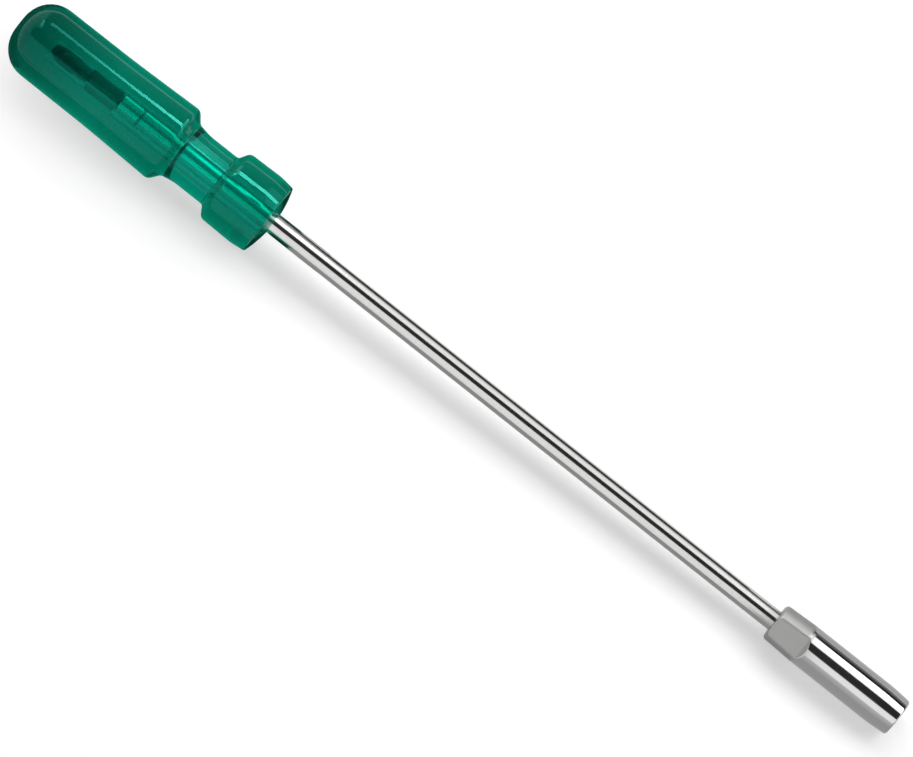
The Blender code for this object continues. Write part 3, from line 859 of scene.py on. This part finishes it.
def sheet(name, rows, look):
    """A stage piece: a mesh through rows of points, with a UV that runs from the first row to the last."""
    shape = bmesh.new()
    uv = shape.loops.layers.uv.new("across")
    made = [[shape.verts.new(point) for point in row] for row in rows]
    for index, (near, far) in enumerate(zip(made, made[1:])):
        face = shape.faces.new((near[0], far[0], far[1], near[1]))
        for loop, step in zip(face.loops, (0, 1, 1, 0)):
            loop[uv].uv = (0.0, (index + step) / (len(rows) - 1))
    mesh = bpy.data.meshes.new(name)
    shape.to_mesh(mesh)
    shape.free()
    mesh.materials.append(look)
    piece = bpy.data.objects.new(name, mesh)
    bpy.context.scene.collection.objects.link(piece)
    return piece


def white_paper():
    made, nodes, links = new_material("white_paper")
    shader = nodes["Principled BSDF"]
    links.new(colour_between(nodes, links, noise(nodes, links, 30.0), (0.78, 0.78, 0.78), (0.8, 0.8, 0.8)),
              shader.inputs["Base Color"])
    shader.inputs["Roughness"].default_value = 0.9
    shader.inputs["Specular IOR Level"].default_value = 0.0
    shader.inputs["Emission Color"].default_value = (1.0, 1.0, 1.0, 1.0)
    glow = nodes.new("ShaderNodeMath")
    glow.operation = "MULTIPLY"
    glow.inputs[1].default_value = FLOOR_GLOW
    links.new(seen_plainly(nodes, links), glow.inputs[0])
    links.new(glow.outputs[0], shader.inputs["Emission Strength"])
    return made


def make_floor():
    """A white sheet under the tool, level beyond the socket so that pieces slide out over it."""
    stops = (-FLOOR_REACH, RESTING[1][0], FLOOR_REACH)
    rows = [[(x, y, floor_height(x)) for y in (-FLOOR_REACH, FLOOR_REACH)] for x in stops]
    sheet("floor", rows, white_paper())


def make_world():
    world = bpy.data.worlds.new("studio")
    bpy.context.scene.world = world
    world.use_nodes = True
    nodes, links = world.node_tree.nodes, world.node_tree.links
    background = nodes["Background"]
    background.inputs["Color"].default_value = (1.0, 1.0, 1.0, 1.0)
    level = nodes.new("ShaderNodeMapRange")
    level.inputs["To Min"].default_value = WORLD_LIGHT
    level.inputs["To Max"].default_value = 1.0
    links.new(seen_plainly(nodes, links), level.inputs["Value"])
    links.new(level.outputs["Result"], background.inputs["Strength"])


def over_tool(angle, distance):
    """A point over the tool's middle, turned from the camera's direction by an angle, uphill negative."""
    away = VIEW * math.cos(angle) - UPHILL * math.sin(angle)
    return Vector((0.0, 0.0, AXIS_HEIGHT)) + distance * away


def add_strip(name, start, end, power):
    """A long soft lamp above the tool, from one angle off the camera's direction to another, in degrees."""
    middle = math.radians(start + end) / 2
    lamp = bpy.data.lights.new(name, "AREA")
    lamp.shape = "RECTANGLE"
    lamp.size = LAMP_LENGTH
    lamp.size_y = 2 * LAMP_DISTANCE * math.tan(math.radians(end - start) / 2)
    lamp.energy = power
    made = bpy.data.objects.new(name, lamp)
    bpy.context.scene.collection.objects.link(made)
    place = over_tool(middle, LAMP_DISTANCE)
    back = (place - Vector((0.0, 0.0, AXIS_HEIGHT))).normalized()
    along = Vector((1.0, 0.0, 0.0))
    turn = Matrix((along, back.cross(along), back)).transposed().to_4x4()
    made.matrix_world = Matrix.Translation(place) @ turn


def card_look(name, first, last, black_until, colour):
    """A card's look: its first edge's level up to a share of its width, then a fade to its last edge's."""
    made, nodes, links = new_material(name)
    shader = nodes["Principled BSDF"]
    shader.inputs["Base Color"].default_value = (0.01, 0.01, 0.01, 1.0)
    shader.inputs["Specular IOR Level"].default_value = 0.0
    shader.inputs["Emission Color"].default_value = (*colour, 1.0)
    place = nodes.new("ShaderNodeTexCoord")
    across = nodes.new("ShaderNodeSeparateXYZ")
    links.new(place.outputs["UV"], across.inputs["Vector"])
    level = nodes.new("ShaderNodeMapRange")
    level.inputs["From Min"].default_value = black_until
    level.inputs["To Min"].default_value = first
    level.inputs["To Max"].default_value = last
    links.new(across.outputs["Y"], level.inputs["Value"])
    links.new(level.outputs["Result"], shader.inputs["Emission Strength"])
    return made


def only_reflected(card):
    card.visible_camera = False
    card.visible_diffuse = False
    card.visible_shadow = False
    card.visible_transmission = False
    return card


def add_card(name, edges, ends, level, last=None, black_until=0.0, colour=WHITE, along=False):
    """A stage card between two edges beside the tool and two ends along it, which only reflections show.

    It has one level, or fades to the last one from edge to edge, or from end to end.
    """
    rows = [[(x, *edge(x)) for x in ends] for edge in edges]
    if along:
        rows = list(zip(*rows))
    look = card_look(name, level, level if last is None else last, black_until, colour)
    return only_reflected(sheet(name, rows, look))


def hung(start, end, distance):
    """Two edges that hang over the tool at angles, in degrees, from the camera's direction."""
    places = [over_tool(math.radians(angle), distance) for angle in (start, end)]
    return [lambda x, place=place: (place.y, place.z) for place in places]


def lying(y, lift=CARD_LIFT):
    """An edge that lies on the floor, y beside the axis."""
    return lambda x: (y, floor_height(x) + lift)


def bar_cards():
    """Dark edges, a grey floor and a bright band along the bar, and a dark card where the camera is."""
    split = SOCKET_LOW.x * SPREAD
    far_ends = (FAR_BAR_END, split)
    low_ends = (HANDLE_HIGH.x - 4 * MM, SOCKET_LOW.x - 10 * MM)
    low_edges = (lying(LOW_CARD_Y, LOW_CARD_HEIGHT), lying(LOW_CARD_Y))
    add_card("camera_gap", hung(-30.0, 10.0, FAR_CARDS), (-STAGE_END, STAGE_END), 0.03)
    add_card("bar_horizon", hung(-84.0, -107.0, FAR_CARDS), far_ends, 0.04, 0.06)
    socket_ends = (split, STAGE_END)
    add_card("socket_horizon", hung(-69.0, -105.0, FAR_CARDS), socket_ends, 0.0, 0.45, black_until=0.3)
    add_card("bar_key", hung(-70.0, -30.0, FAR_CARDS), far_ends, 1.45)
    add_card("bar_low", low_edges, low_ends, 0.06)
    add_card("bar_floor", (lying(-5 * MM), lying(-100 * MM)), (SHADE_END, SOCKET_LOW.x), 0.46)


def socket_cards():
    """Grey floor on both sides of the socket and past it, and grey and bright cards for its flats."""
    bend = RESTING[1][0]
    near, far = (lying(-5 * MM), lying(-220 * MM)), (lying(9 * MM), lying(220 * MM))
    for name, ends in (("socket", (SOCKET_LOW.x, bend)), ("beyond", (bend, FLOOR_CARD_END))):
        add_card(name + "_near", near, ends, 0.5)
        add_card(name + "_far", far, ends, 0.66, 0.42)
    side_ends = (SOCKET_LOW.x + 2 * MM, FLOOR_CARD_END)
    add_card("socket_side", hung(42.0, 76.0, SIDE_CARD), side_ends, 0.8, 0.48)
    flats = (SOCKET_LOW.x - 2 * MM, SOCKET_LOW.x + SPANNER_LENGTH)
    flats = [x * (1 + FLAT_CARDS / CAMERA_DISTANCE) for x in flats]
    add_card("flat_gap", hung(13.0, 42.0, FLAT_CARDS), flats, 0.4)
    add_card("flat_key", hung(-72.0, -32.0, FLAT_CARDS), flats, 1.1)


def handle_floor_cards():
    """The floor in the handle's own green light, and in its shade at both ends."""
    behind = HANDLE_LOW.x - 60 * MM
    for name, edges in (("handle_near", (-5 * MM, -150 * MM)), ("handle_far", (5 * MM, 150 * MM))):
        add_card(name, [lying(y) for y in edges], (behind, SHADE_END), 1.0, colour=FLOOR_GREEN_LIGHT)
    for name, edges, ends in (
        ("handle_back", (-40 * MM, 40 * MM), (behind, HANDLE_LOW.x + 4 * MM)),
        ("handle_front", (-40 * MM, 40 * MM), (HANDLE_HIGH.x + 0.5 * MM, SHADE_END)),
        ("collar_face", (-6 * MM, 17 * MM), (SHADE_END, HANDLE_HIGH.x + 20 * MM)),
    ):
        add_card(name, [lying(y, SHADE_LIFT) for y in edges], ends, 1.0, colour=FLOOR_SHADE)


def handle_glint_cards():
    """A dark card before the lamp, which hides its reflection in the handle as painted shade, and in it
    painted glints that light nothing, fainter towards the back.
    """
    back, middle, shoulder = -0.2, -0.16, -0.13
    add_card("handle_gap", hung(-100.0, -25.0, GAP_CARD), (-0.25, -0.08), 0.25)
    window = hung(-57.0, -47.0, GLINT_CARDS)
    add_card("glint_rear", window, (back, middle), 4.0)
    add_card("glint_grip", window, (middle, shoulder), 4.0, 16.0, along=True)
    add_card("glint_front", window, (shoulder, GREEN_END), 16.0)
    # painted highlights on the neck, from cards that light nothing
    neck = (-0.1135, -0.0955)
    add_card("neck_upper", hung(-68.0, -41.0, NECK_CARDS), neck, 5.5, 1.5, along=True)
    add_card("neck_edge", hung(-41.0, -35.0, NECK_CARDS), neck, 14.0, 5.0, along=True)


def core_cards():
    """Painted reflections of the lamp and its fill on the bar inside the handle, from cards that light
    nothing and show only through the plastic.
    """
    ends = (-0.15, GREEN_END)
    for card in (
        add_card("core_key", hung(-58.0, -40.0, CORE_CARDS), ends, 3.6, 8.4, along=True),
        add_card("core_fill", hung(5.0, 40.0, CORE_CARDS), ends, 2.6, 2.8, along=True),
    ):
        card.visible_glossy = False
        card.visible_transmission = True


def make_cards():
    """Dark, grey, bright and green cards round the tool, as a studio sets them for shiny things, though
    they light nothing: the bright ones are painted reflections and glints of the lamps, and the green and
    dark ones on the floor are the handle's light and shade painted there.
    """
    bar_cards()
    socket_cards()
    handle_floor_cards()
    handle_glint_cards()
    core_cards()


def make_light():
    add_strip("key_strip", -67.0, -38.0, 16.5)
    add_strip("top_strip", -38.0, -28.0, 1.8)
    add_strip("fill_strip", 12.0, 72.0, 5.2)


def make_camera():
    camera = bpy.data.cameras.new("camera")
    camera.sensor_width = SENSOR_WIDTH
    camera.lens = SENSOR_WIDTH * CAMERA_DISTANCE / (PHOTO_WIDTH * PHOTO_MM_PER_PIXEL * MM)
    camera.clip_end = VIEW_REACH
    made = bpy.data.objects.new("camera", camera)
    bpy.context.scene.collection.objects.link(made)
    along = Vector((1.0, 0.0, 0.0))
    right = along * math.cos(PHOTO_SLANT) + UPHILL * math.sin(PHOTO_SLANT)
    up = UPHILL * math.cos(PHOTO_SLANT) - along * math.sin(PHOTO_SLANT)
    pixel = PHOTO_MM_PER_PIXEL * MM
    target = Vector((0.0, 0.0, AXIS_HEIGHT))
    target -= right * ((PHOTO_MIDDLE[0] - PHOTO_WIDTH / 2) * pixel)
    target -= up * ((PHOTO_HEIGHT / 2 - PHOTO_MIDDLE[1]) * pixel)
    place = target + VIEW * CAMERA_DISTANCE
    made.matrix_world = Matrix.Translation(place) @ Matrix((right, up, VIEW)).transposed().to_4x4()
    bpy.context.scene.camera = made


make_camera()
make_handle()
make_bar()
make_bits()
make_rings()
make_socket()
make_magnet()
make_floor()
make_world()
make_cards()
make_light()
bpy.context.scene.view_settings.view_transform = "Standard"
